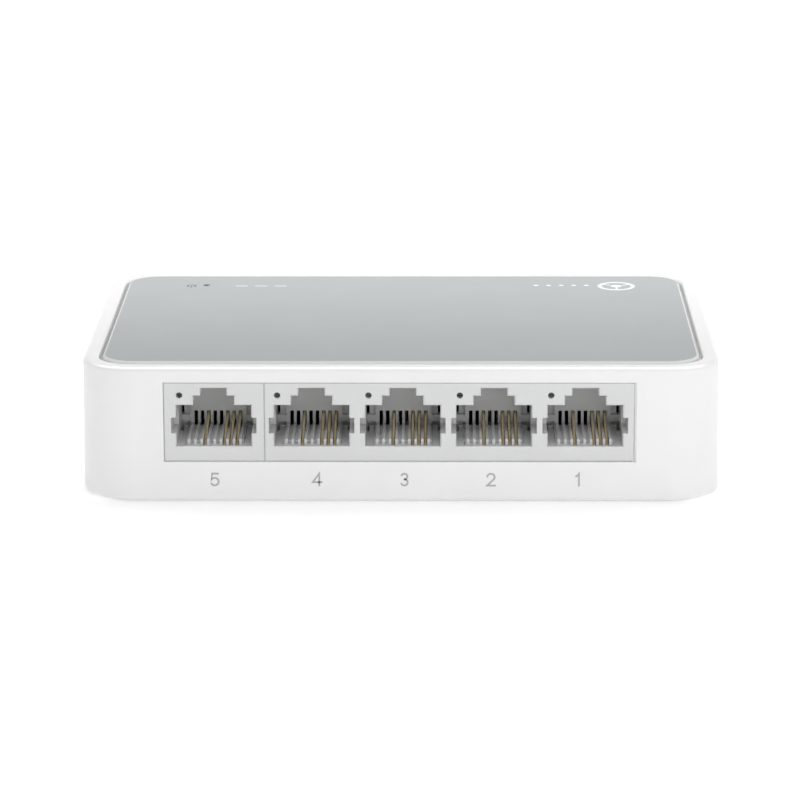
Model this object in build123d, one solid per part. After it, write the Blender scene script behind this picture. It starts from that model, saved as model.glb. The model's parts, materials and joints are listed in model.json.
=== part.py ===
from build123d import *
import os
from math import cos, radians, sin, tan

# Five-port desktop network switch, as an assembly of separate pieces.
#
# Frame: millimetres, +Z up. The port face looks along -Y and the power socket along +Y.
# The origin is on the surface that the rubber feet stand on, under the middle of the casing.
# Each piece is written to parts/NODE.step.

# ---- casing: driving dimensions ----
CASE_WIDTH = 103.5
CASE_DEPTH = 70.0
CASE_HEIGHT = 22.2
CORNER_RADIUS = 8.7
DRAFT_DEG = 0.5  # the walls lean in towards the top
WALL = 1.8
RIM_FILLET = 0.8
BASE_FILLET = 0.9
FOOT_PROUD = 0.2  # how far the rubber feet stand out of the casing
FOOT_RECESS = 0.8
RIM_WIDTH = 2.58  # white rim between the outer edge and the groove
RIM_INNER_FILLET = 0.45
GROOVE_WIDTH = 0.65
GROOVE_DEPTH = 0.6  # below the deck that the panel lies on
DECK_THICK = 1.3
PANEL_THICK = 1.3
PANEL_BEVEL = 0.35

CASE_BOTTOM = FOOT_PROUD
CASE_TOP = CASE_BOTTOM + CASE_HEIGHT
LEAN = CASE_HEIGHT * tan(radians(DRAFT_DEG))
DECK_TOP = CASE_TOP - 1.1
DECK_UNDER = DECK_TOP - DECK_THICK
RECESS_WIDTH = CASE_WIDTH - 2 * (LEAN + RIM_WIDTH)
RECESS_DEPTH = CASE_DEPTH - 2 * (LEAN + RIM_WIDTH)
RECESS_RADIUS = CORNER_RADIUS - LEAN - RIM_WIDTH
PANEL_WIDTH = RECESS_WIDTH - 2 * GROOVE_WIDTH
PANEL_DEPTH = RECESS_DEPTH - 2 * GROOVE_WIDTH
PANEL_RADIUS = RECESS_RADIUS - GROOVE_WIDTH

# ---- circuit board ----
PCB_THICK = 1.6
PCB_TOP = 6.78
PCB_BOTTOM = PCB_TOP - PCB_THICK
PCB_WIDTH = 98.6
PCB_DEPTH = 65.2
PIN_END = PCB_BOTTOM - 1.3  # soldered pins stop this low

# ---- modular sockets: heights are above the board, depths are behind the socket face ----
FACE_Y = -34.62
FACE_BEVEL = 0.16
JACK_HEIGHT = 13.07
JACK_DEPTH = 18.0
SINGLE_SPAN = (-38.05, -21.87)
SINGLE_X = -30.0
QUAD_SPAN = (-21.83, 37.62)
QUAD_X = 7.73  # middle of the four ports
PORT_PITCH = 14.66
CUTOUT_SPAN = (-38.08, 37.66)
CUTOUT_LOW = 6.76
CUTOUT_STEP = (0.22, 0.4)  # width and depth of a shallow step beside the last socket
CUTOUT_HIGH = 19.9
CUTOUT_FILLET = 0.15
FLOOR = 2.47
MAIN_WIDTH, MAIN_TOP = 12.1, 9.34
STEP_WIDTH, STEP_TOP = 6.6, 10.9
KEY_WIDTH, KEY_TOP = 4.25, 12.15
CAVITY_DEPTH = 12.5
REAR_WALL = 1.8
MOUTH_CHAMFER = 0.2
LAMP_HOLE_X, LAMP_HOLE_Z = -5.5, 10.97
LAMP_HOLE_RADIUS = 0.52
CONTACT_PITCH = 1.04
CONTACT_SLOT = 0.6
USED_CONTACTS = (2, 5, 6, 7)  # places, from the left, of pins 6, 3, 2 and 1
WIRE_RADIUS = 0.225
HINGE_DEPTH, HINGE_HEIGHT = 2.4, 2.17
BEAM_ANGLE = 13.5  # degrees above level at rest
BEAM_LENGTH = 11.5
PORTS = {5: SINGLE_X} | {n: QUAD_X + PORT_PITCH * (2.5 - n) for n in (4, 3, 2, 1)}

# ---- power socket and indicator ----
DC_X = -14.0
DC_FACE_Y = 34.55
DC_AXIS_Z = PCB_TOP + 6.5
DC_WIDTH, DC_HEIGHT = 9.0, 11.0
DC_BORE_RADIUS = 3.2
DC_BORE_DEPTH = 9.8
DC_PIN_RADIUS = 1.0
DC_SLEEVE_TAIL_Y, DC_SWITCH_TAIL_Y = 26.6, 23.6
LAMP_X, LAMP_Y = -34.6, 24.2
LAMP_SLOT = (1.6, 0.85)  # length along Y, width

# ---- fixings ----
SCREWS = [(-44.2, 14.0), (44.2, 14.0)]
FEET = [(-42.0, -26.5), (42.0, -26.5), (-42.0, 26.5), (42.0, 26.5)]
CLAMP_POSTS = [(-44.2, -24.0), (44.2, -24.0)]
FOOT_RADIUS = 4.0
SCREW_RADIUS = 1.25
SNAP_X = (-24.0, 24.0)


# ---- small helpers ----
def block(x, y, z):
    """A box from three (low, high) pairs."""
    size = [high - low for low, high in (x, y, z)]
    middle = [(low + high) / 2 for low, high in (x, y, z)]
    return Pos(*middle) * Box(*size)


def post(x, y, z, radius):
    """An upright cylinder; z is a (low, high) pair."""
    return Pos(x, y, (z[0] + z[1]) / 2) * Cylinder(radius, z[1] - z[0])


def bar(x, y, z, radius):
    """A cylinder along Y; y is a (low, high) pair."""
    return Pos(x, (y[0] + y[1]) / 2, z) * Rot(90, 0, 0) * Cylinder(radius, y[1] - y[0])


def rounded_slab(width, depth, radius, z, draft=0.0):
    outline = Pos(0, 0, z[0]) * RectangleRounded(width, depth, radius)
    return extrude(outline, amount=z[1] - z[0], taper=draft)


def tube_along(points, radii, radius):
    """A round wire along straight runs that are joined by tangent arcs."""
    path = FilletPolyline(*points, radius=radii)
    return sweep(Plane(origin=path @ 0, z_dir=path % 0) * Circle(radius), path=path)


def group(pieces):
    return Compound(children=list(pieces))


# ---- casing ----
def upper_case():
    outer = rounded_slab(CASE_WIDTH, CASE_DEPTH, CORNER_RADIUS, (CASE_BOTTOM, CASE_TOP), DRAFT_DEG)
    outer = fillet(outer.faces().sort_by(Axis.Z)[-1].edges(), RIM_FILLET)
    outer = fillet(outer.faces().sort_by(Axis.Z)[0].edges(), BASE_FILLET)
    inner = rounded_slab(
        CASE_WIDTH - 2 * WALL, CASE_DEPTH - 2 * WALL, CORNER_RADIUS - WALL, (CASE_BOTTOM, DECK_UNDER), DRAFT_DEG
    )
    case = outer - inner
    case -= rounded_slab(RECESS_WIDTH, RECESS_DEPTH, RECESS_RADIUS, (DECK_TOP, CASE_TOP + 1))
    groove = rounded_slab(RECESS_WIDTH, RECESS_DEPTH, RECESS_RADIUS, (DECK_TOP - GROOVE_DEPTH, DECK_TOP + 0.1))
    groove -= rounded_slab(PANEL_WIDTH, PANEL_DEPTH, PANEL_RADIUS, (DECK_TOP - GROOVE_DEPTH - 1, DECK_TOP + 1))
    case -= groove
    top_ring = case.faces().sort_by(Axis.Z)[-1]
    case = fillet(top_ring.inner_wires()[0].edges(), RIM_INNER_FILLET)
    case -= block(CUTOUT_SPAN, (-CASE_DEPTH / 2 - 1, -CASE_DEPTH / 2 + 3), (CUTOUT_LOW, CUTOUT_HIGH))
    step_width, step_depth = CUTOUT_STEP
    step = (CUTOUT_SPAN[1] - 0.1, CUTOUT_SPAN[1] + step_width)
    case -= block(step, (-CASE_DEPTH / 2 - 1, -CASE_DEPTH / 2 + step_depth + 0.1), (CUTOUT_LOW, CUTOUT_HIGH))
    front_face = case.faces().filter_by(lambda f: abs(f.center().Y + CASE_DEPTH / 2) < 0.2).sort_by(SortBy.AREA)[-1]
    case = fillet(front_face.inner_wires()[0].edges(), CUTOUT_FILLET)
    gap = 0.15
    case -= block(
        (DC_X - DC_WIDTH / 2 - gap, DC_X + DC_WIDTH / 2 + gap),
        (CASE_DEPTH / 2 - 3, CASE_DEPTH / 2 + 1),
        (PCB_TOP - gap, PCB_TOP + DC_HEIGHT + gap),
    )
    for x, y in SCREWS:
        case += post(x, y, (PCB_TOP, DECK_UNDER), 3.0)
        case -= post(x, y, (PCB_TOP - 1, PCB_TOP + 7), SCREW_RADIUS + 0.025)
    for x, y in CLAMP_POSTS:
        case += post(x, y, (PCB_TOP, DECK_UNDER), 2.0)
    case -= lamp_stem(0.0, DECK_UNDER - 1, DECK_TOP + 1)
    for x, y in panel_pegs():
        case -= post(x, y, (DECK_UNDER - 1, DECK_TOP + 1), 1.0)
    for x in SNAP_X:
        for side in (-1, 1):
            near, far = sorted((side * (CASE_DEPTH / 2 - WALL - 0.3), side * (CASE_DEPTH / 2 - WALL + 0.5)))
            case -= block((x - 4.3, x + 4.3), (near, far), (3.1, 4.3))
    return case


def lamp_stem(clearance, low, high):
    """The oblong opening of the power indicator, or with a clearance the stem that fills it."""
    length, width = LAMP_SLOT
    outline = SlotOverall(length - 2 * clearance, width - 2 * clearance, rotation=90)
    return extrude(Pos(LAMP_X, LAMP_Y, low) * outline, amount=high - low)


def panel_pegs():
    """Centres of the pegs that hold the top panel to the deck."""
    return [(x, y) for x in (-40.0, 0.0, 40.0) for y in (-12.0, 28.0)]


def top_panel():
    panel = rounded_slab(PANEL_WIDTH, PANEL_DEPTH, PANEL_RADIUS, (DECK_TOP, DECK_TOP + PANEL_THICK))
    panel = chamfer(panel.faces().sort_by(Axis.Z)[-1].edges(), PANEL_BEVEL)
    panel -= lamp_stem(0.0, DECK_TOP - 1, CASE_TOP + 1)
    for x, y in panel_pegs():
        panel += post(x, y, (DECK_UNDER - 0.1, DECK_TOP), 0.9)
        panel += post(x, y, (DECK_UNDER - 0.6, DECK_UNDER), 1.5)  # heat-staked head
    return panel


def lower_case():
    gap = 0.15
    width, depth = CASE_WIDTH - 2 * (WALL + gap), CASE_DEPTH - 2 * (WALL + gap)
    radius = CORNER_RADIUS - WALL - gap
    plate_top, lip_top, lip = CASE_BOTTOM + WALL, 4.5, 1.2
    cover = rounded_slab(width, depth, radius, (CASE_BOTTOM, lip_top), DRAFT_DEG)
    cover -= rounded_slab(width - 2 * lip, depth - 2 * lip, radius - lip, (plate_top, lip_top + 1), DRAFT_DEG)
    for x in SNAP_X:
        for side in (-1, 1):
            near, far = sorted((side * (depth / 2 - 0.6), side * (depth / 2 + 0.45)))
            cover += block((x - 4, x + 4), (near, far), (3.3, 4.1))
    for x, y in SCREWS:
        cover += post(x, y, (plate_top - 0.5, PCB_BOTTOM), 3.7)
        cover -= post(x, y, (CASE_BOTTOM - 1, 3.0), 2.75)
        cover -= post(x, y, (CASE_BOTTOM - 1, PCB_BOTTOM + 1), SCREW_RADIUS + 0.2)
    for x, y in [*CLAMP_POSTS, (0.0, 27.5), (0.0, -13.0), (-44.2, -8.0), (44.2, -8.0)]:
        cover += post(x, y, (plate_top - 0.5, PCB_BOTTOM), 2.0)
    for x, y in FEET:
        cover -= post(x, y, (CASE_BOTTOM - 1, CASE_BOTTOM + FOOT_RECESS), FOOT_RADIUS + 0.15)
    cover -= block((-28.2, 28.2), (-11.2, 11.2), (CASE_BOTTOM - 1, CASE_BOTTOM + 0.3))
    for row in (-20.5, 20.5):
        for k in range(-5, 6):
            slot = Pos(5 * k, row, CASE_BOTTOM - 1) * SlotOverall(9.0, 1.6, rotation=90)
            cover -= extrude(slot, amount=WALL + 2)
    return cover


def rating_label():
    label = Pos(0, 0, CASE_BOTTOM + 0.15) * RectangleRounded(56, 22, 1.5)
    return extrude(label, amount=0.15)


def rubber_foot(x, y):
    foot = post(x, y, (0, CASE_BOTTOM + FOOT_RECESS), FOOT_RADIUS)
    return fillet(foot.faces().sort_by(Axis.Z)[0].edges(), 0.25)


def case_screw(x, y):
    head = post(x, y, (1.4, 3.0), 2.4)
    head = fillet(head.faces().sort_by(Axis.Z)[0].edges(), 0.7)
    screw = head + post(x, y, (3.0, 12.0), SCREW_RADIUS)
    for angle in (0, 90):
        screw -= Pos(x, y, 1.75) * Rot(0, 0, angle) * Box(2.5, 0.55, 1.5)
    return screw


# ---- modular sockets ----
def contact_x(place):
    return (place - 3.5) * CONTACT_PITCH


def mouth_outline(x):
    """The stepped outline of one socket, in the XZ plane, looking along +Y."""
    half_main, half_step, half_key = MAIN_WIDTH / 2, STEP_WIDTH / 2, KEY_WIDTH / 2
    right = [(half_main, FLOOR), (half_main, MAIN_TOP), (half_step, MAIN_TOP)]
    right += [(half_step, STEP_TOP), (half_key, STEP_TOP), (half_key, KEY_TOP)]
    left = [(-a, b) for a, b in reversed(right)]
    return [(x + a, PCB_TOP + b) for a, b in right + left]


def cavity(x):
    """Everything that one port takes out of its housing."""
    top = PCB_TOP
    outline = make_face(Polyline(*[(a, 0, b) for a, b in mouth_outline(x)], close=True))
    cut = extrude(Pos(0, FACE_Y, 0) * outline, amount=CAVITY_DEPTH, dir=(0, 1, 0))
    flared = offset(outline, MOUTH_CHAMFER, kind=Kind.INTERSECTION)
    cut += loft([Pos(0, FACE_Y, 0) * flared.face(), Pos(0, FACE_Y + MOUTH_CHAMFER, 0) * outline.face()])
    side = MAIN_WIDTH / 2 + 0.83
    cut += block((x - side, x + side), (FACE_Y - 1, FACE_Y + 6.0), (top + FLOOR + 2.19, top + FLOOR + 4.81))
    wall_front, wall_back = FACE_Y + CAVITY_DEPTH, FACE_Y + CAVITY_DEPTH + REAR_WALL
    cut += block((x - 4.75, x + 4.75), (FACE_Y + 0.8, wall_back + 0.1), (top - 1, top + FLOOR))
    for place in range(8):
        middle = x + contact_x(place)
        slot = (middle - CONTACT_SLOT / 2, middle + CONTACT_SLOT / 2)
        cut += block(slot, (wall_front - 0.1, wall_back + 0.1), (top + FLOOR - 0.1, top + FLOOR + 2.74))
    half = MAIN_WIDTH / 2
    cut += block((x - half, x + half), (wall_back, FACE_Y + JACK_DEPTH + 1), (top - 1, top + 9.4))
    for side in (-1, 1):
        pocket = sorted((x + side * 4.6, x + side * half))
        window = sorted((x + side * 5.6, x + side * half))
        cut += block(pocket, (wall_front - 0.1, wall_front + 0.8), (top + FLOOR + 2.03, top + FLOOR + 4.3))
        cut += block(window, (wall_front - 0.1, wall_back + 0.1), (top + FLOOR + 2.03, top + FLOOR + 4.3))
        cut += block(pocket, (wall_front - 0.1, wall_front + 1.2), (top + FLOOR + 0.3, top + FLOOR + 0.95))
        cut += block(window, (wall_front - 2.6, wall_front + 1.2), (top + FLOOR - 0.9, top + FLOOR + 0.95))
    lamp = (FACE_Y - 1, FACE_Y + JACK_DEPTH + 1)
    return cut + bar(x + LAMP_HOLE_X, lamp, top + LAMP_HOLE_Z, LAMP_HOLE_RADIUS)


def peg_places(housing):
    """Board pegs of a housing, as (x, y)."""
    y = FACE_Y + 7.6
    if housing == "single":
        return [(SINGLE_X - 5.9, y), (SINGLE_X + 5.9, y)]
    return [(PORTS[4] - 5.9, y), (QUAD_X, y), (PORTS[1] + 5.9, y)]


def jack_housing(kind):
    span, ports = (SINGLE_SPAN, (5,)) if kind == "single" else (QUAD_SPAN, (4, 3, 2, 1))
    body = block(span, (FACE_Y, FACE_Y + JACK_DEPTH), (PCB_TOP, PCB_TOP + JACK_HEIGHT))
    body = chamfer(body.faces().sort_by(Axis.Y)[0].edges(), FACE_BEVEL)
    for n in ports:
        body -= cavity(PORTS[n])
    for px, py in peg_places(kind):
        body += post(px, py, (PCB_BOTTOM - 0.8, PCB_TOP + 0.05), 1.1)
    return body


def port_insert(x):
    """The tray that carries one port's wires, with a comb of nine ribs on top and a nose plate in front.

    The comb's deck fills the gaps between the ribs where no wire runs.
    """
    half, half_rib, half_gap = 4.7, (CONTACT_PITCH - CONTACT_SLOT) / 2, CONTACT_SLOT / 2
    plate_front, plate_top = FACE_Y + 0.85, PCB_TOP + FLOOR - 0.05
    front, back = FACE_Y + 2.3, FACE_Y + CAVITY_DEPTH + REAR_WALL - 0.1
    rib_front, rib_end, rib_top = FACE_Y + 1.75, FACE_Y + CAVITY_DEPTH - 0.05, PCB_TOP + FLOOR + 0.75
    low, high, deck_top = PCB_TOP + 0.9, PCB_TOP + 1.9, PCB_TOP + FLOOR + 0.35
    tray = block((x - half, x + half), (front, back), (low, high))
    tray += block((x - half, x + half), (plate_front, front + 0.1), (low, plate_top))
    for side in (-1, 1):
        tray += block(sorted((x + side * 4.35, x + side * half)), (front, back), (PCB_TOP, low + 0.1))
    for place in USED_CONTACTS:
        middle = x + contact_x(place)
        tray -= block((middle - half_gap, middle + half_gap), (plate_front - 1, front + 0.15), (low - 1, plate_top + 1))
    deck = block((x - half, x + half), (rib_front + 0.9, rib_end), (high - 0.1, deck_top))
    for place in USED_CONTACTS:
        middle = x + contact_x(place)
        deck -= block((middle - half_gap, middle + half_gap), (rib_front, rib_end + 1), (high - 1, deck_top + 1))
    tray += deck
    for k in range(9):
        middle = x + (k - 4) * CONTACT_PITCH
        rib = block((middle - half_rib, middle + half_rib), (rib_front, rib_end), (high - 0.1, rib_top))
        tray += chamfer(rib.edges().filter_by(Axis.X).sort_by(Axis.Z)[-2:].sort_by(Axis.Y)[0], 0.25)
    return tray


def contact_beam(x):
    """The springing part of one wire, from its root bend to its free end."""
    rise, run = sin(radians(BEAM_ANGLE)), cos(radians(BEAM_ANGLE))
    root = (x, FACE_Y + HINGE_DEPTH, PCB_TOP + HINGE_HEIGHT)
    axis = Plane(origin=root, z_dir=(0, run, rise))
    beam = extrude(axis * Circle(WIRE_RADIUS), amount=BEAM_LENGTH)
    end = [root[0], root[1] + BEAM_LENGTH * run, root[2] + BEAM_LENGTH * rise]
    return beam + Pos(*root) * Sphere(WIRE_RADIUS) + Pos(*end) * Sphere(WIRE_RADIUS)


def contact_tail_y(place):
    return FACE_Y + (13.1 if place % 2 else 15.64)


def contact_tail(x, place):
    """The fixed part of one wire: round the nose of the tray, back beneath it and down through the board."""
    high, low = PCB_TOP + HINGE_HEIGHT, PCB_TOP + 0.55
    start, nose, back = FACE_Y + HINGE_DEPTH, FACE_Y + 1.35, contact_tail_y(place)
    points = [(x, start - 0.29, high), (x, nose, high - 0.1), (x, nose, low), (x, back, low), (x, back, PIN_END)]
    return tube_along(points, [0.6, 0.85, 0.45], WIRE_RADIUS)


def light_pipe(x):
    lamp_x, height = x + LAMP_HOLE_X, PCB_TOP + LAMP_HOLE_Z
    back = FACE_Y + 20.4
    points = [(lamp_x, FACE_Y + 1.2, height), (lamp_x, back, height), (lamp_x, back, PCB_TOP + 0.75)]
    return tube_along(points, [1.4], LAMP_HOLE_RADIUS - 0.05)


def port_lamp(x):
    x, y = x + LAMP_HOLE_X, FACE_Y + 20.4
    return block((x - 0.8, x + 0.8), (y - 0.4, y + 0.4), (PCB_TOP, PCB_TOP + 0.65))


# ---- power socket ----
def dc_socket_housing():
    half, face, back = DC_WIDTH / 2, DC_FACE_Y, DC_FACE_Y - 14.2
    body = block((DC_X - half, DC_X + half), (face - 3.5, face), (PCB_TOP, PCB_TOP + DC_HEIGHT))
    body = fillet(body.edges().filter_by(Axis.Y).sort_by(Axis.Z)[-2:], 1.0)
    body += block((DC_X - half, DC_X + half), (back, face - 3.4), (PCB_TOP, DC_AXIS_Z))
    body += bar(DC_X, (back, face - 3.4), DC_AXIS_Z, half)
    body -= bar(DC_X, (face - DC_BORE_DEPTH, face + 1), DC_AXIS_Z, DC_BORE_RADIUS)
    rear = face - DC_BORE_DEPTH
    body -= bar(DC_X, (back - 1, rear + 0.1), DC_AXIS_Z, 0.62)  # the centre pin's rivet
    body -= block((DC_X - 1.7, DC_X + 1.7), (rear - 2.2, face - 1.8), (PCB_TOP - 1, DC_AXIS_Z - 2.2))
    body -= block((DC_X - half - 1, DC_X - half + 1.3), (DC_SWITCH_TAIL_Y - 1.4, DC_SWITCH_TAIL_Y + 1.4),
                  (PCB_TOP - 1, DC_AXIS_Z - 1.5))
    return body


def dc_centre_pin():
    """The centre pin, riveted to the flat tail behind the housing."""
    rear, tip = DC_FACE_Y - DC_BORE_DEPTH, DC_FACE_Y - 1.0
    pin = bar(DC_X, (rear, tip), DC_AXIS_Z, DC_PIN_RADIUS)
    pin = fillet(pin.faces().sort_by(Axis.Y)[-1].edges(), 0.55)
    back = DC_FACE_Y - 14.2
    pin += bar(DC_X, (back - 0.5, rear + 0.05), DC_AXIS_Z, 0.6)
    pin += bar(DC_X, (back - 0.8, back - 0.5), DC_AXIS_Z, 1.0)
    pin += block((DC_X - 1.3, DC_X + 1.3), (back - 0.5, back), (PCB_TOP, DC_AXIS_Z + 1.3))
    return pin + block((DC_X - 1.0, DC_X + 1.0), (back - 0.5, back), (PIN_END, PCB_TOP + 0.1))


def dc_spring_root():
    """(y, z) of the line that the sleeve spring bends about."""
    return DC_FACE_Y - DC_BORE_DEPTH - 0.9, DC_AXIS_Z - DC_BORE_RADIUS - 1.1


def dc_sleeve_spring():
    """The leaf that presses on a plug's sleeve: flat from its root, with one raised crest near the free end."""
    y, z = dc_spring_root()
    line = [(y, z), (y + 4.4, z + 0.35), (y + 6.6, z + 1.75), (y + 7.9, z + 1.0)]
    thick = 0.3
    outline = line + [(a, b - thick) for a, b in reversed(line)]
    face = make_face(Polyline(*[(DC_X - 1.2, a, b) for a, b in outline], close=True))
    return extrude(face, amount=2.4, dir=(1, 0, 0))


def dc_fixed_contacts():
    """The sleeve spring's tail and the side switch contact, both soldered to the board."""
    y, z = dc_spring_root()
    tail = block((DC_X - 1.2, DC_X + 1.2), (y - 1.0, y - 0.1), (z - 0.3, z))
    tail += block((DC_X - 1.2, DC_X + 1.2), (y - 1.0, y - 0.6), (PCB_TOP + 0.9, z))
    tail += block((DC_X - 1.2, DC_X + 1.2), (y - 1.0, DC_SLEEVE_TAIL_Y + 0.25), (PCB_TOP + 0.6, PCB_TOP + 0.9))
    tail += block((DC_X - 1.0, DC_X + 1.0), (DC_SLEEVE_TAIL_Y - 0.25, DC_SLEEVE_TAIL_Y + 0.25), (PIN_END, PCB_TOP + 0.9))
    side = DC_X - DC_WIDTH / 2 + 0.35
    switch = block((side, side + 0.5), (DC_SWITCH_TAIL_Y - 1.2, DC_SWITCH_TAIL_Y + 1.2), (PCB_TOP, DC_AXIS_Z - 1.7))
    switch += block((side, side + 0.5), (DC_SWITCH_TAIL_Y - 1.0, DC_SWITCH_TAIL_Y + 1.0), (PIN_END, PCB_TOP + 0.1))
    return group([tail, switch])


# ---- indicator in the top ----
def power_light_pipe():
    stem = lamp_stem(0.05, DECK_UNDER - 0.1, DECK_TOP + PANEL_THICK - 0.25)
    return stem + post(LAMP_X, LAMP_Y, (PCB_TOP + 0.8, DECK_UNDER), 1.3)


def power_lamp():
    return block((LAMP_X - 0.8, LAMP_X + 0.8), (LAMP_Y - 0.4, LAMP_Y + 0.4), (PCB_TOP, PCB_TOP + 0.65))


# ---- parts on the board ----
IC_X, IC_Y = 8.0, 13.0
REGULATOR_X, REGULATOR_Y = -13.0, 12.0
QUAD_MAGNETICS_X, QUAD_MAGNETICS_Y = QUAD_X, -4.5
SINGLE_MAGNETICS_X, SINGLE_MAGNETICS_Y = SINGLE_X, -3.0
CRYSTAL_X, CRYSTAL_Y = 25.0, 17.0
CAPACITORS = [(-30.0, 12.0, 4.0, 12.0), (4.5, 25.4, 3.15, 10.5)]  # x, y, radius, height


def chip_body(x, y, width, depth, low, high):
    """A moulded body with bevelled edges and a dimple beside pin 1."""
    body = block((x - width / 2, x + width / 2), (y - depth / 2, y + depth / 2), (PCB_TOP + low, PCB_TOP + high))
    body = chamfer(body.faces().sort_by(Axis.Z)[-1].edges(), 0.15)
    dot = post(x - width / 2 + 0.9, y - depth / 2 + 0.9, (PCB_TOP + high - 0.08, PCB_TOP + high + 1), 0.35)
    return body - dot


def gull_wings(x, y, width, depth, height, count, pitch, lead, reach, sides):
    """Leads that leave the body at mid height and stand on the board, along the named sides."""
    top, thick, step = PCB_TOP + height, 0.15, reach * 0.4
    leads = []
    for side in sides:
        half = depth / 2 if side in (0, 180) else width / 2
        profile = [(-half, top), (-half - step, top), (-half - step, PCB_TOP + thick), (-half - reach, PCB_TOP + thick)]
        profile += [(-half - reach, PCB_TOP), (-half - step + thick, PCB_TOP), (-half - step + thick, top - thick)]
        profile += [(-half, top - thick)]
        for k in range(count):
            along = (k - (count - 1) / 2) * pitch
            face = make_face(Polyline(*[(along - lead / 2, a, b) for a, b in profile], close=True))
            leads.append(Pos(x, y, 0) * Rot(0, 0, side) * extrude(face, amount=lead, dir=(1, 0, 0)))
    return group(leads)


def crystal():
    foot = Pos(CRYSTAL_X, CRYSTAL_Y, PCB_TOP + 0.1) * SlotOverall(11.3, 4.7)
    can = Pos(CRYSTAL_X, CRYSTAL_Y, PCB_TOP + 0.5) * SlotOverall(10.4, 3.8)
    body = extrude(foot, amount=0.4) + extrude(can, amount=3.1)
    body = fillet(body.faces().sort_by(Axis.Z)[-1].edges(), 0.4)
    for dx in (-2.44, 2.44):
        body += post(CRYSTAL_X + dx, CRYSTAL_Y, (PIN_END, PCB_TOP + 0.2), 0.22)
    return body


def electrolytic(x, y, radius, height):
    body = post(x, y, (PCB_TOP, PCB_TOP + height), radius)
    body = fillet(body.edges().filter_by(GeomType.CIRCLE), 0.5)
    groove = Pos(x, y, PCB_TOP + 1.6) * Torus(radius + 0.15, 0.45)
    body -= groove
    for angle in (45, 135):
        body -= Pos(x, y, PCB_TOP + height) * Rot(0, 0, angle) * Box(radius * 1.3, 0.25, 0.2)
    for dx in (-radius * 0.55, radius * 0.55):
        body += post(x + dx, y, (PIN_END, PCB_TOP + 0.1), 0.25)
    return body


def power_inductor():
    x, y = -21.8, 5.6
    base = rounded_slab(7.0, 7.0, 1.6, (PCB_TOP, PCB_TOP + 3.2))
    base = chamfer(base.faces().sort_by(Axis.Z)[-1].edges(), 0.3)
    return Pos(x, y, 0) * base


def schottky_diode():
    x, y = -25.0, 20.5
    body = block((x - 2.2, x + 2.2), (y - 1.3, y + 1.3), (PCB_TOP + 0.15, PCB_TOP + 2.2))
    body = chamfer(body.faces().sort_by(Axis.Z)[-1].edges(), 0.25)
    for side in (-1, 1):
        body += block(sorted((x + side * 1.4, x + side * 2.6)), (y - 0.7, y + 0.7), (PCB_TOP, PCB_TOP + 0.35))
    return body


def chips(places, length, width, height):
    """Small two-ended chips; a place is (x, y, turned)."""
    made = []
    for x, y, turned in places:
        a, b = (width, length) if turned else (length, width)
        made.append(block((x - a / 2, x + a / 2), (y - b / 2, y + b / 2), (PCB_TOP, PCB_TOP + height)))
    return group(made)


def resistor_places():
    near_quad = [(QUAD_MAGNETICS_X + (k - 7.5) * 1.7, 5.0, True) for k in range(16)]
    near_single = [(SINGLE_MAGNETICS_X + (k - 1.5) * 1.7, 4.2, True) for k in range(4)]
    by_lamps = [(x + LAMP_HOLE_X + 2.2, FACE_Y + 20.4, False) for x in PORTS.values()]
    return near_quad + near_single + by_lamps + [(LAMP_X + 3.0, LAMP_Y, True), (-7.2, 10.0, True), (-7.2, 14.0, True)]


def capacitor_places():
    around_chip = [(IC_X + side * 7.6, IC_Y + (k - 1.5) * 2.2, False) for side in (-1, 1) for k in range(4)]
    behind_chip = [(IC_X + (k - 1.5) * 2.4, 20.0, True) for k in range(4)]
    by_crystal = [(CRYSTAL_X - 3.5, 12.4, False), (CRYSTAL_X + 3.5, 12.4, False)]
    return around_chip + behind_chip + by_crystal + [(-17.0, 10.0, True), (-17.0, 14.0, True)]


def main_board():
    board = rounded_slab(PCB_WIDTH, PCB_DEPTH, 6.5, (PCB_BOTTOM, PCB_TOP))
    through = (PCB_BOTTOM - 1, PCB_TOP + 1)
    holes = [(x, y, SCREW_RADIUS + 0.35) for x, y in SCREWS]
    for kind in ("single", "quad"):
        holes += [(x, y, 1.2) for x, y in peg_places(kind)]
    for x in PORTS.values():
        holes += [(x + contact_x(place), contact_tail_y(place), 0.38) for place in USED_CONTACTS]
    holes += [(CRYSTAL_X + dx, CRYSTAL_Y, 0.38) for dx in (-2.44, 2.44)]
    for x, y, radius, _ in CAPACITORS:
        holes += [(x + dx, y, 0.4) for dx in (-radius * 0.55, radius * 0.55)]
    for x, y, radius in holes:
        board -= post(x, y, through, radius)
    slots = [(DC_X, DC_FACE_Y - 14.45, 0), (DC_X, DC_SLEEVE_TAIL_Y, 0)]
    slots += [(DC_X - DC_WIDTH / 2 + 0.6, DC_SWITCH_TAIL_Y, 90)]
    for x, y, turn in slots:
        board -= extrude(Pos(x, y, through[0]) * SlotOverall(2.6, 0.9, rotation=turn), amount=through[1] - through[0])
    return board


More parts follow.
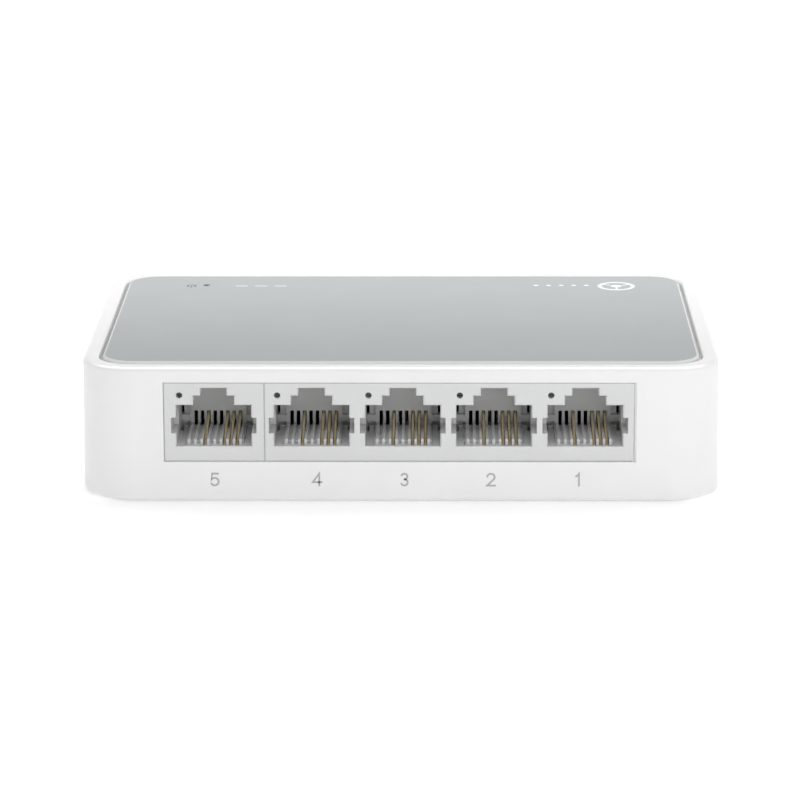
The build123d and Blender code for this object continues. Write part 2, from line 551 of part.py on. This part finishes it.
# ---- assembly ----
def build():
    nodes = {
        "upper_case": upper_case(),
        "top_panel": top_panel(),
        "lower_case": lower_case(),
        "rating_label": rating_label(),
        "case_screws": group(case_screw(x, y) for x, y in SCREWS),
        "main_board": main_board(),
        "jack_housing_single": jack_housing("single"),
        "jack_housing_quad": jack_housing("quad"),
        "dc_socket_housing": dc_socket_housing(),
        "dc_centre_pin": dc_centre_pin(),
        "dc_sleeve_spring": dc_sleeve_spring(),
        "dc_fixed_contacts": dc_fixed_contacts(),
        "power_light_pipe": power_light_pipe(),
        "power_lamp": power_lamp(),
        "switch_chip": chip_body(IC_X, IC_Y, 7.0, 7.0, 0.1, 1.5),
        "switch_chip_leads": gull_wings(IC_X, IC_Y, 7.0, 7.0, 0.85, 12, 0.5, 0.22, 1.0, (0, 90, 180, 270)),
        "quad_magnetics": chip_body(QUAD_MAGNETICS_X, QUAD_MAGNETICS_Y, 27.5, 11.0, 0.2, 5.8),
        "quad_magnetics_leads": gull_wings(
            QUAD_MAGNETICS_X, QUAD_MAGNETICS_Y, 27.5, 11.0, 2.6, 20, 1.27, 0.45, 1.4, (0, 180)
        ),
        "single_magnetics": chip_body(SINGLE_MAGNETICS_X, SINGLE_MAGNETICS_Y, 12.7, 7.1, 0.2, 5.6),
        "single_magnetics_leads": gull_wings(
            SINGLE_MAGNETICS_X, SINGLE_MAGNETICS_Y, 12.7, 7.1, 2.6, 8, 1.27, 0.45, 1.4, (0, 180)
        ),
        "regulator": chip_body(REGULATOR_X, REGULATOR_Y, 3.9, 4.9, 0.1, 1.5),
        "regulator_leads": gull_wings(REGULATOR_X, REGULATOR_Y, 3.9, 4.9, 0.85, 4, 0.95, 0.4, 1.0, (0, 180)),
        "crystal": crystal(),
        "power_inductor": power_inductor(),
        "schottky_diode": schottky_diode(),
        "chip_resistors": chips(resistor_places(), 1.6, 0.8, 0.5),
        "chip_capacitors": chips(capacitor_places(), 1.6, 0.8, 0.8),
    }
    for k, (x, y) in enumerate(FEET, 1):
        nodes[f"rubber_foot_{k}"] = rubber_foot(x, y)
    for k, place in enumerate(CAPACITORS, 1):
        nodes[f"electrolytic_capacitor_{k}"] = electrolytic(*place)
    for n, x in PORTS.items():
        nodes[f"port_{n}_insert"] = port_insert(x)
        nodes[f"port_{n}_contacts"] = group(contact_beam(x + contact_x(place)) for place in USED_CONTACTS)
        nodes[f"port_{n}_tails"] = group(contact_tail(x + contact_x(place), place) for place in USED_CONTACTS)
        nodes[f"port_{n}_light_pipe"] = light_pipe(x)
        nodes[f"port_{n}_lamp"] = port_lamp(x)
    return nodes


os.makedirs("parts", exist_ok=True)
for node, shape in build().items():
    export_step(shape, f"parts/{node}.step")
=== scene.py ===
import json
from math import cos, pi, radians, sin, tan

import bmesh
import bpy
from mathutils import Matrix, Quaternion, Vector


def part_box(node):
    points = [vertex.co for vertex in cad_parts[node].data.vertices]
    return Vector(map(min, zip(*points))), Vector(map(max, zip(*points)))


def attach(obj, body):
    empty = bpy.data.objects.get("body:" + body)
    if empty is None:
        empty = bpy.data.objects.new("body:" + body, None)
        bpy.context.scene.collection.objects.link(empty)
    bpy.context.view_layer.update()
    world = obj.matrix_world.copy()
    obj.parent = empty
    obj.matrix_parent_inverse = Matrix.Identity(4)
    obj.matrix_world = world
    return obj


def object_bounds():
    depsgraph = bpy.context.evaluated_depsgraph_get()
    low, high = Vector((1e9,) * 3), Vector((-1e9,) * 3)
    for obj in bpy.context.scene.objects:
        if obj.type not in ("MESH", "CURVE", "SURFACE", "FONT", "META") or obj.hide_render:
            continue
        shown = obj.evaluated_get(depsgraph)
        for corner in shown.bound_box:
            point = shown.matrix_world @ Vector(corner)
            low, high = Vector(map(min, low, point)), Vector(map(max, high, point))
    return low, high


# Looks of a five-port desktop network switch, around its CAD frame.
# Everything is in the frame's axes: +Z up, -Y out of the port side. Places are written in millimetres.

MM = 0.001
CASE_DEPTH, CASE_BOTTOM, DRAFT_DEG = 70.0, 0.2, 0.5

# Printed marks
INK_THICK = 0.016
INK_SUNK = INK_THICK / 4                # how far a layer of ink sits in the casing, so that no gap shows
NUMBER_HEIGHT, NUMBER_LINE, NUMBER_Z = 1.98, 0.31, 3.85
NUMBER_X = {"5": -29.92, "4": -13.43, "3": 0.66, "2": 14.61, "1": 28.78}
SHADE_DISC_RADIUS = 0.6                     # a dark disc over the power light pipe, as painted shade in the indicator hole
LABEL_HALF_X, LABEL_HALF_Y, LABEL_RULE_Y = 26.6, 9.6, 4.6
PRINT_LEFT, PRINT_TOP, PRINT_PITCH, PRINT_GAP = -24.5, 2.6, 2.6, 1.4
SYMBOL_Y, SYMBOL_LINE = 1.2, 0.2        # the row of symbols on the label
POLARITY_OFFSET = 11.0                  # from the middle of the power socket

# Room and camera
FLOOR_HALF, FLOOR_BACK, CURVE_RADIUS = 3.0, 2.0, 1.0    # metres
FLOOR_LEVEL = -0.00002                  # metres; just under the feet
FOOTPRINT_INSET = 0.004                 # metres; the floor's glow, with its painted light and painted contact shadow, is measured from this far inside the casing's box
SKY_STRENGTH = 0.56
LENS, SENSOR = 166.2, 36.0
CAMERA_PLACE = (6.53, -608.1, 165.54)
CAMERA_DOWN, CAMERA_TURN, CAMERA_TILT = radians(14.519), radians(-0.656), -0.0024

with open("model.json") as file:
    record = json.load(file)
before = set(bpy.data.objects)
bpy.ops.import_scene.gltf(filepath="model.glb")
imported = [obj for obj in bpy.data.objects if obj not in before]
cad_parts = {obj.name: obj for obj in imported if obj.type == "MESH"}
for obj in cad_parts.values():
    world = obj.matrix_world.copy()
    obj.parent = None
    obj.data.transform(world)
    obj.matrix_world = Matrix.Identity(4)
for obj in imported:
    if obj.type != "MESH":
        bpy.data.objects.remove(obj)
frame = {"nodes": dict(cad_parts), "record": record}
cad_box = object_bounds()
nodes = frame["nodes"]
scene = bpy.context.scene
scene.view_settings.view_transform = "Standard"


# ---------------------------------------------------------------- materials

class Nodes:
    """A material's node tree, with short calls for the nodes that every finish here uses."""

    def __init__(self, name):
        self.material = bpy.data.materials.new(name)
        self.material.use_nodes = True
        self.tree = self.material.node_tree
        self.shader = self.tree.nodes["Principled BSDF"]
        self.place = self.tree.nodes.new("ShaderNodeTexCoord").outputs["Object"]

    def link(self, a, b):
        self.tree.links.new(a, b)
        return b

    def stretched(self, scale):
        """Places with each axis multiplied, so that a pattern there is squeezed along it."""
        mapping = self.tree.nodes.new("ShaderNodeMapping")
        mapping.inputs["Scale"].default_value = scale
        self.link(self.place, mapping.inputs["Vector"])
        return mapping.outputs["Vector"]

    def noise(self, size, detail=2.0, roughness=0.5, place=None):
        """Noise whose features are about size millimetres across."""
        n = self.tree.nodes.new("ShaderNodeTexNoise")
        n.inputs["Scale"].default_value = 1 / (size * MM)
        n.inputs["Detail"].default_value = detail
        n.inputs["Roughness"].default_value = roughness
        self.link(place or self.place, n.inputs["Vector"])
        return n.outputs["Fac"]

    def cells(self, size):
        """Rounded cells about size millimetres across."""
        n = self.tree.nodes.new("ShaderNodeTexVoronoi")
        n.inputs["Scale"].default_value = 1 / (size * MM)
        self.link(self.place, n.inputs["Vector"])
        return n.outputs["Distance"]

    def range(self, value, low, high, start=0.3, end=0.7):
        """low where value is start or less, high where it is end or more."""
        n = self.tree.nodes.new("ShaderNodeMapRange")
        for key, v in (("From Min", start), ("From Max", end), ("To Min", low), ("To Max", high)):
            n.inputs[key].default_value = v
        self.link(value, n.inputs["Value"])
        return n.outputs["Result"]

    def mix(self, value, a, b):
        """Colour a where value is 0 and b where it is 1. Each is a colour or an output."""
        n = self.tree.nodes.new("ShaderNodeMix")
        n.data_type = "RGBA"
        self.link(value, n.inputs["Factor"])
        for key, c in (("A", a), ("B", b)):
            socket = [s for s in n.inputs if s.name == key and s.type == "RGBA"][0]
            if isinstance(c, tuple):
                socket.default_value = (*c, 1)
            else:
                self.link(c, socket)
        return [s for s in n.outputs if s.type == "RGBA"][0]

    def bump(self, height, depth, normal=None):
        """depth is the relief in millimetres for a height that goes from 0 to 1."""
        n = self.tree.nodes.new("ShaderNodeBump")
        n.inputs["Distance"].default_value = depth * MM
        self.link(height, n.inputs["Height"])
        if normal:
            self.link(normal, n.inputs["Normal"])
        return n.outputs["Normal"]

    def edges(self):
        """Above a half on outward edges, a half on flat faces."""
        return self.tree.nodes.new("ShaderNodeNewGeometry").outputs["Pointiness"]

    def add(self, a, b):
        n = self.tree.nodes.new("ShaderNodeMath")
        self.link(a, n.inputs[0])
        self.link(b, n.inputs[1])
        return n.outputs["Value"]

    def height(self):
        """How much the surface faces up: 1 on a level top, 0 on a wall."""
        n = self.tree.nodes.new("ShaderNodeSeparateXYZ")
        self.link(self.tree.nodes.new("ShaderNodeNewGeometry").outputs["Normal"], n.inputs["Vector"])
        return n.outputs["Z"]

    def set(self, **values):
        """Constant values, straight on the shader's own sockets."""
        for key, v in values.items():
            self.shader.inputs[key.replace("_", " ").title().replace("Ior", "IOR")].default_value = v

    def wire(self, key, output):
        self.link(output, self.shader.inputs[key])


def shade(colour, k):
    """The colour, k times as bright."""
    return tuple(c * k for c in colour)


def moulded(name, colour, roughness, grain, depth, spread=0.012, edge=0.03, border=None, **values):
    """A moulded plastic: fine spark-eroded grain, slow colour drift, and outward edges made paler as a
    painted highlight.

    With a border colour, the sloping and upright faces are painted that colour, as a painted highlight.
    """
    n = Nodes(name)
    drift = n.range(n.noise(9.0, 3.0), 0, 1)
    base = n.mix(drift, shade(colour, 1 - spread), shade(colour, 1 + spread))
    # Painted highlight: outward edges are lightened towards a paler copy of the colour.
    painted_edge_highlight = n.range(n.edges(), 0, edge, 0.52, 0.6)
    tone = n.mix(painted_edge_highlight, base, shade(colour, 1.2))
    # Painted highlight: faces that slope or stand upright take the border colour.
    n.wire("Base Color", n.mix(n.range(n.height(), 1, 0, 0.9, 0.97), tone, border) if border else tone)
    n.wire("Roughness", n.range(n.noise(1.7, 2.0), roughness - 0.04, roughness + 0.04))
    fine = n.bump(n.noise(grain, 3.0, 0.6), depth)
    n.wire("Normal", n.bump(n.noise(6.0, 1.0), 0.004, normal=fine))
    n.set(**values)
    return n.material


def plated(name, colour, roughness, tarnish=None, **values):
    """A plated or drawn metal: fine drawing lines, and a slow change of tone where it has dulled."""
    n = Nodes(name)
    dull = n.range(n.noise(1.2, 3.0), 0, 1)
    n.wire("Base Color", n.mix(dull, colour, tarnish or shade(colour, 0.92)))
    lines = n.noise(0.5, 3.0, place=n.stretched((14.0, 1.0, 1.0)))
    n.wire("Roughness", n.range(lines, roughness - 0.07, roughness + 0.07))
    n.wire("Normal", n.bump(lines, 0.002))
    n.set(**{"metallic": 1.0} | values)
    return n.material


def laminate(name):
    """Board: green solder mask over a faint glass weave, with copper tracks showing darker through it."""
    n = Nodes(name)
    weave = n.cells(0.9)
    tracks = n.range(n.noise(2.4, 0.0, place=n.stretched((1.0, 4.0, 1.0))), 0, 1, 0.47, 0.5)
    n.wire("Base Color", n.mix(tracks, (0.012, 0.105, 0.045), (0.018, 0.16, 0.07)))
    n.wire("Roughness", n.range(n.noise(3.0), 0.28, 0.4))
    n.wire("Normal", n.bump(tracks, 0.02, normal=n.bump(weave, 0.01)))
    return n.material


def clear(name, colour, roughness):
    """A moulded light guide: clear plastic with a faint cloud in it."""
    n = Nodes(name)
    cloud = n.range(n.noise(1.4, 3.0), 0, 1)
    n.wire("Base Color", n.mix(cloud, colour, shade(colour, 0.93)))
    n.wire("Roughness", n.range(n.noise(0.6), roughness - 0.03, roughness + 0.05))
    n.wire("Normal", n.bump(n.noise(0.5), 0.004))
    n.set(transmission_weight=0.85, ior=1.49)
    return n.material


def speckled(name, colour, fleck, size, roughness, depth):
    """Sintered or fibrous stuff: two tones in fine cells, with a matching relief."""
    n = Nodes(name)
    spots = n.range(n.cells(size), 0, 1, 0.1, 0.6)
    n.wire("Base Color", n.mix(spots, fleck, colour))
    n.wire("Roughness", n.range(n.noise(size * 3), roughness - 0.06, roughness + 0.06))
    n.wire("Normal", n.bump(n.noise(size, 3.0), depth))
    return n.material


def ink(name, colour, roughness=0.5):
    """Pad-printed ink: slightly uneven cover, over the grain of what it is printed on."""
    n = Nodes(name)
    cover = n.range(n.noise(0.25, 3.0), 0, 1)
    n.wire("Base Color", n.mix(cover, colour, shade(colour, 1.12)))
    n.wire("Roughness", n.range(n.noise(0.4), roughness - 0.05, roughness + 0.05))
    n.wire("Normal", n.bump(n.noise(0.15, 2.0), 0.004))
    return n.material


FINISHES = {
    "white_plastic": moulded("white_casing", (0.83, 0.832, 0.828), 0.42, 0.16, 0.0035),
    # The grey panel's pale border colour is a painted highlight on its bevels and upright sides.
    "grey_plastic": moulded("grey_panel", (0.51, 0.53, 0.533), 0.6, 0.14, 0.003,
                            border=(0.82, 0.83, 0.83), specular_ior_level=0.0),
    "socket_plastic": moulded("socket_moulding", (0.66, 0.664, 0.664), 0.4, 0.3, 0.003),
    "comb_plastic": moulded("comb_moulding", (0.67, 0.665, 0.672), 0.42, 0.3, 0.003),
    "gold_plate": plated("gold_flash", (0.93, 0.78, 0.46), 0.38, tarnish=(0.82, 0.66, 0.40), metallic=0.6),
    "tinned_metal": plated("tin_plate", (0.66, 0.66, 0.63), 0.38),
    "nickel_plate": plated("nickel_plate", (0.74, 0.72, 0.68), 0.2),
    "zinc_steel": plated("zinc_plated_steel", (0.62, 0.63, 0.64), 0.34),
    "clear_plastic": clear("light_guide", (0.80, 0.88, 0.82), 0.12),
    "lamp_plastic": moulded("lamp_lens", (0.40, 0.55, 0.30), 0.3, 0.2, 0.002, coat_weight=0.3),
    "board_laminate": laminate("board_laminate"),
    "black_moulding": speckled("chip_epoxy", (0.018, 0.018, 0.02), (0.035, 0.035, 0.037),
                               0.12, 0.55, 0.004),
    "black_socket": moulded("black_socket", (0.014, 0.014, 0.015), 0.36, 0.12, 0.003,
                            spread=0.1, edge=0.3),
    "sleeve_film": moulded("shrink_sleeve", (0.02, 0.022, 0.035), 0.25, 0.5, 0.004,
                           spread=0.1, coat_weight=0.4),
    "ferrite": speckled("ferrite", (0.035, 0.035, 0.038), (0.07, 0.07, 0.07), 0.1, 0.6, 0.01),
    "resistor_ceramic": speckled("resistor_glaze", (0.02, 0.02, 0.022), (0.05, 0.05, 0.055),
                                 0.08, 0.3, 0.003),
    "capacitor_ceramic": speckled("capacitor_ceramic", (0.36, 0.25, 0.14), (0.45, 0.33, 0.2),
                                  0.08, 0.4, 0.003),
    "foot_rubber": speckled("foot_rubber", (0.045, 0.045, 0.047), (0.08, 0.08, 0.082),
                            0.2, 0.78, 0.012),
    "label_paper": moulded("label_film", (0.78, 0.78, 0.77), 0.38, 0.2, 0.002),
}


def finish_cad_nodes():
    """The finish of its record slot on every CAD node."""
    slots = {s["node"]: s["material_slot"] for s in frame["record"]["subparts"]}
    for name, obj in nodes.items():
        obj.data.materials.clear()
        obj.data.materials.append(FINISHES[slots[name]])


# ---------------------------------------------------------------- printed marks

GREY_INK = ink("grey_ink", (0.40, 0.40, 0.405))
DARK_INK = ink("dark_ink", (0.05, 0.05, 0.055))
PALE_INK = ink("pale_ink", (0.84, 0.85, 0.85), 0.4)


def arc(x, y, radius, start, end, steps=16):
    """Points on an arc, from start to end in degrees."""
    angles = [radians(start + (end - start) * k / steps) for k in range(steps + 1)]
    return [(x + radius * cos(a), y + radius * sin(a)) for a in angles]


def stroke(mesh, points, width, closed=False):
    """A flat line of even width through the points, with round ends unless it is closed."""
    pts = [Vector(p) for p in points]
    count = len(pts)
    sides = []
    for k, p in enumerate(pts):
        before = p - pts[k - 1] if k or closed else pts[1] - p
        after = pts[(k + 1) % count] - p if k < count - 1 or closed else p - pts[k - 1]
        before, after = before.normalized(), after.normalized()
        along = (before + after).normalized()
        across = Vector((-along.y, along.x)) * (width / 2 / max(0.35, along.dot(after)))
        sides.append([mesh.verts.new((*(p + across), 0)), mesh.verts.new((*(p - across), 0))])
    if closed:
        sides.append(sides[0])
    for (a, b), (c, d) in zip(sides, sides[1:]):
        mesh.faces.new((a, b, d, c))
    if not closed:
        for (a, b), centre, turn in ((sides[0], pts[0], 1), (sides[-1], pts[-1], -1)):
            radius = (a.co.xy - b.co.xy).length / 2
            first = a.co.xy - centre
            rim = []
            for k in range(1, 8):
                t = turn * pi * k / 8
                turned = Vector((first.x * cos(t) - first.y * sin(t), first.x * sin(t) + first.y * cos(t)))
                rim.append(mesh.verts.new((*(centre + turned.normalized() * radius), 0)))
            ring = [a, *rim, b]
            mesh.faces.new(ring if turn < 0 else ring[::-1])


def disc(mesh, x, y, radius, steps=24):
    mesh.faces.new([mesh.verts.new((*p, 0)) for p in arc(x, y, radius, 0, 360 - 360 / steps, steps - 1)])


def printed(name, draw, origin, right, up, material):
    """draw(mesh) draws in a plane, in millimetres, and the drawing becomes a thin layer on the casing."""
    mesh = bmesh.new()
    draw(mesh)
    bmesh.ops.recalc_face_normals(mesh, faces=mesh.faces)
    for f in mesh.faces:
        if f.normal.z < 0:
            f.normal_flip()
    right, up = Vector(right), Vector(up)
    out = right.cross(up)
    made = bmesh.ops.extrude_face_region(mesh, geom=list(mesh.faces))
    for v in [g for g in made["geom"] if isinstance(g, bmesh.types.BMVert)]:
        v.co.z += INK_THICK
    bmesh.ops.recalc_face_normals(mesh, faces=mesh.faces)
    for v in mesh.verts:
        v.co = (Vector(origin) + right * v.co.x + up * v.co.y + out * (v.co.z - INK_SUNK)) * MM
    data = bpy.data.meshes.new(name)
    mesh.to_mesh(data)
    mesh.free()
    obj = bpy.data.objects.new(name, data)
    scene.collection.objects.link(obj)
    data.materials.append(material)
    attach(obj, "case")


# Digits, in a box one unit high.
DIGITS = {
    "1": [[(0.1, 0.78), (0.22, 0.84), (0.34, 1.0), (0.34, 0.0)]],
    "2": [arc(0.34, 0.70, 0.30, 170, -30) + [(0.04, 0.0), (0.68, 0.0)]],
    "3": [arc(0.34, 0.755, 0.245, 155, -85), arc(0.34, 0.265, 0.265, 85, -155)],
    "4": [[(0.52, 0.0), (0.52, 1.0), (0.0, 0.28), (0.72, 0.28)]],
    "5": [[(0.62, 1.0), (0.15, 1.0), (0.09, 0.53)] + arc(0.33, 0.32, 0.32, 138, -150)],
}


def wall_y(z):
    """How far the casing's long walls stand from its middle at this height."""
    return CASE_DEPTH / 2 - (z - CASE_BOTTOM) * tan(radians(DRAFT_DEG))


def port_numbers():
    """A number under each port, on the front wall."""
    for digit, x in NUMBER_X.items():
        def draw(mesh, strokes=DIGITS[digit]):
            for points in strokes:
                placed = [((px - 0.35) * NUMBER_HEIGHT, (py - 0.5) * NUMBER_HEIGHT) for px, py in points]
                stroke(mesh, placed, NUMBER_LINE)

        printed(f"port_number_{digit}", draw, (x, -wall_y(NUMBER_Z), NUMBER_Z), (1, 0, 0), (0, 0, 1),
                GREY_INK)


def top_marks():
    """Power symbol, a dark disc of painted shade over the indicator light, dashes, and a plain emblem with
    a row of dots, read from behind.
    """
    def power(mesh):
        stroke(mesh, arc(0, 0, 0.75, 125, 415, 28), 0.24)
        stroke(mesh, [(0, 0.25), (0, 1.05)], 0.24)

    # Painted shade: a dark disc laid over the power light pipe.
    def shade_disc(mesh):
        disc(mesh, 0, 0, SHADE_DISC_RADIUS)

    def dashes(mesh):
        for x in (-1, 0, 1):
            stroke(mesh, [(x * 3.4 - 0.9, 0), (x * 3.4 + 0.9, 0)], 0.35)

    def emblem(mesh):
        stroke(mesh, arc(0, 0, 2.9, 0, 360 - 360 / 64, 63), 0.75, closed=True)
        disc(mesh, 0, 0, 0.95)
        for angle in (90, 210, 330):
            a = radians(angle)
            stroke(mesh, [(1.25 * cos(a), 1.25 * sin(a)), (2.3 * cos(a), 2.3 * sin(a))], 0.4)

    def dots(mesh):
        for k in range(5):
            disc(mesh, (k - 2) * 2.2, 0, 0.45)

    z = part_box("top_panel")[1].z / MM
    low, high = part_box("power_light_pipe")
    lamp = (low + high) / 2 / MM
    for name, draw, x, y, material, slot in (
            ("power_symbol", power, -37.2, 23.6, DARK_INK, "black_moulding"),
            ("indicator_painted_shade", shade_disc, lamp.x, lamp.y, DARK_INK, "black_moulding"),
            ("indicator_dashes", dashes, -25.0, 23.5, PALE_INK, "white_plastic"),
            ("panel_emblem", emblem, 37.2, 23.4, PALE_INK, "white_plastic"),
            ("panel_dots", dots, 27.6, 24.0, PALE_INK, "white_plastic")):
        printed(name, draw, (x, y, z), (-1, 0, 0), (0, -1, 0), material)


def underside_marks():
    """Rows of small print, a bar code, and the symbols for polarity and double insulation, on the label."""
    def border(mesh):
        x, y = LABEL_HALF_X, LABEL_HALF_Y
        stroke(mesh, [(-x, -y), (x, -y), (x, y), (-x, y)], 0.25, closed=True)
        stroke(mesh, [(-x, LABEL_RULE_Y), (x, LABEL_RULE_Y)], 0.2)

    def small_print(mesh):
        for row, words in enumerate(((5.0, 3.0, 6.5), (7.5, 4.0), (3.5, 5.5, 4.0), (6.0, 6.0))):
            x, y = PRINT_LEFT, PRINT_TOP - PRINT_PITCH * row
            for length in words:
                stroke(mesh, [(x, y), (x + length, y)], 0.7)
                x += length + PRINT_GAP
        stroke(mesh, [(PRINT_LEFT, 7.1), (-8.0, 7.1)], 1.5)

    def bars(mesh):
        x = 2.0
        for k in range(26):
            width = (0.25, 0.5, 0.25, 0.75)[(k * 7 + k // 3) % 4]
            stroke(mesh, [(x + width / 2, -7.6), (x + width / 2, -3.2)], width)
            x += width + (0.3, 0.55, 0.3)[k % 3]

    def symbols(mesh):
        y, line = SYMBOL_Y, SYMBOL_LINE
        for x, radius, start, end in ((6.0, 1.0, 0, 350), (10.0, 1.15, 50, 310), (14.0, 1.0, 0, 350)):
            stroke(mesh, arc(x, y, radius, start, end, 30), line)
        disc(mesh, 10.0, y, 0.45)
        for start, end in ((7.0, 8.85), (10.0, 13.0), (5.5, 6.5), (13.5, 14.5)):
            stroke(mesh, [(start, y), (end, y)], line)
        stroke(mesh, [(14.0, y - 0.5), (14.0, y + 0.5)], line)
        for half in (1.3, 0.75):
            square = [(20.5 + sx * half, y + sy * half) for sx, sy in ((-1, -1), (1, -1), (1, 1), (-1, 1))]
            stroke(mesh, square, line, closed=True)

    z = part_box("rating_label")[0].z / MM
    drawings = {"border": border, "small_print": small_print, "bar_code": bars, "symbols": symbols}
    for name, draw in drawings.items():
        printed(f"label_{name}", draw, (0, 0, z), (1, 0, 0), (0, -1, 0), DARK_INK)


def back_marks():
    """The polarity symbol beside the power socket."""
    def polarity(mesh):
        stroke(mesh, arc(0, 0, 0.95, 50, 310, 24), 0.22)
        disc(mesh, 0, 0, 0.38)
        for side in (-1, 1):
            stroke(mesh, arc(side * 3.0, 0, 0.8, 0, 350, 24), 0.2)
            stroke(mesh, [(side * 3.0 - 0.4, 0), (side * 3.0 + 0.4, 0)], 0.2)
        stroke(mesh, [(3.0, -0.4), (3.0, 0.4)], 0.2)
        stroke(mesh, [(-2.2, 0), (-1.0, 0)], 0.2)
        stroke(mesh, [(0, 0), (2.2, 0)], 0.2)

    low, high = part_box("dc_socket_housing")
    x, z = (low.x + high.x) / 2 / MM + POLARITY_OFFSET, (low.z + high.z) / 2 / MM
    printed("polarity_symbol", polarity, (x, wall_y(z), z), (-1, 0, 0), (0, 0, 1), GREY_INK)


# ---------------------------------------------------------------- room, light and camera

def footprint_distance(n):
    """Distance along the floor, in metres, from a rectangle just inside the casing's outline."""
    def math(operation, a, b=None):
        node = n.tree.nodes.new("ShaderNodeVectorMath")
        node.operation = operation
        n.link(a, node.inputs[0])
        if b is not None:
            node.inputs[1].default_value = b
        return node.outputs["Value" if operation == "LENGTH" else "Vector"]

    half = (cad_box[1].x - FOOTPRINT_INSET, cad_box[1].y - FOOTPRINT_INSET, 1)
    return math("LENGTH", math("MAXIMUM", math("SUBTRACT", math("ABSOLUTE", n.place), half), (0, 0, 0)))


def room():
    """A white floor that curves up far behind the object, under an even white sky; its glow paints light
    and a contact shadow near the object.
    """
    mesh = bmesh.new()
    steps = 12
    turns = [radians(90 * k / steps) for k in range(steps + 1)]
    curve = [(FLOOR_BACK + CURVE_RADIUS * sin(t), CURVE_RADIUS * (1 - cos(t)) + FLOOR_LEVEL) for t in turns]
    profile = [(-FLOOR_HALF, FLOOR_LEVEL), *curve]
    rows = [[mesh.verts.new((x, y, z)) for x in (-FLOOR_HALF, FLOOR_HALF)] for y, z in profile]
    for (a, b), (c, d) in zip(rows, rows[1:]):
        mesh.faces.new((a, b, d, c))
    data = bpy.data.meshes.new("floor")
    mesh.to_mesh(data)
    mesh.free()
    floor = bpy.data.objects.new("floor", data)
    scene.collection.objects.link(floor)
    n = Nodes("floor_paper")
    n.wire("Base Color", n.mix(n.range(n.noise(300.0), 0, 1), (0.93, 0.93, 0.93), (0.95, 0.95, 0.95)))
    away = footprint_distance(n)
    # The paper's glow is painted light and shade: brighter under the casing to lift the shade there,
    # dimmest at and just outside the casing's outline as a painted contact shadow, and brighter again
    # beyond it and far off.
    under = n.range(away, 0.33, 0.17, 0.0015, 0.004)
    beyond = n.range(away, 0.0, 0.2, 0.005, 0.016)
    far = n.range(away, 0.0, 0.6, 0.1, 1.5)
    n.wire("Emission Strength", n.add(n.add(under, beyond), far))
    n.set(roughness=0.9, specular_ior_level=0.2, emission_color=(1, 1, 1, 1))
    data.materials.append(n.material)


def light(name, place, target, size, power, diffuse=True):
    """An area light in watts. With diffuse off, it only shows as a reflection."""
    data = bpy.data.lights.new(name, "AREA")
    data.shape = "RECTANGLE"
    data.size, data.size_y = size[0] * MM, size[1] * MM
    data.energy = power
    obj = bpy.data.objects.new(name, data)
    scene.collection.objects.link(obj)
    obj.location = Vector(place) * MM
    obj.rotation_euler = (Vector(target) - Vector(place)).to_track_quat("-Z", "Y").to_euler()
    obj.visible_camera = False
    obj.visible_diffuse = diffuse


def sky():
    world = bpy.data.worlds.new("sky")
    scene.world = world
    world.use_nodes = True
    background = world.node_tree.nodes["Background"]
    background.inputs["Color"].default_value = (1, 1, 1, 1)
    background.inputs["Strength"].default_value = SKY_STRENGTH


def camera():
    data = bpy.data.cameras.new("camera")
    data.lens, data.sensor_width = LENS, SENSOR
    data.clip_start, data.clip_end = 0.01, 20.0
    obj = bpy.data.objects.new("camera", data)
    scene.collection.objects.link(obj)
    level = cos(CAMERA_DOWN)
    look = Vector((sin(CAMERA_TURN) * level, cos(CAMERA_TURN) * level, -sin(CAMERA_DOWN)))
    obj.location = Vector(CAMERA_PLACE) * MM
    obj.rotation_euler = (look.to_track_quat("-Z", "Y") @ Quaternion((0, 0, 1), CAMERA_TILT)).to_euler()
    scene.camera = obj


finish_cad_nodes()
port_numbers()
top_marks()
underside_marks()
back_marks()
room()
sky()
light("top_softbox", (0, -350, 400), (0, -20, 10), (300, 200), 0.33)
light("back_strip", (0, 38, 88), (0, 38, 20), (420, 30), 0.084)
light("right_softbox", (160, -180, 90), (0, -30, 10), (120, 100), 0.045)
light("front_softbox", (150, -600, 120), (0, -30, 10), (160, 120), 0.2)
light("rim_strip", (0, -20, 150), (0, -34, 22), (420, 90), 1.25, diffuse=False)
camera()
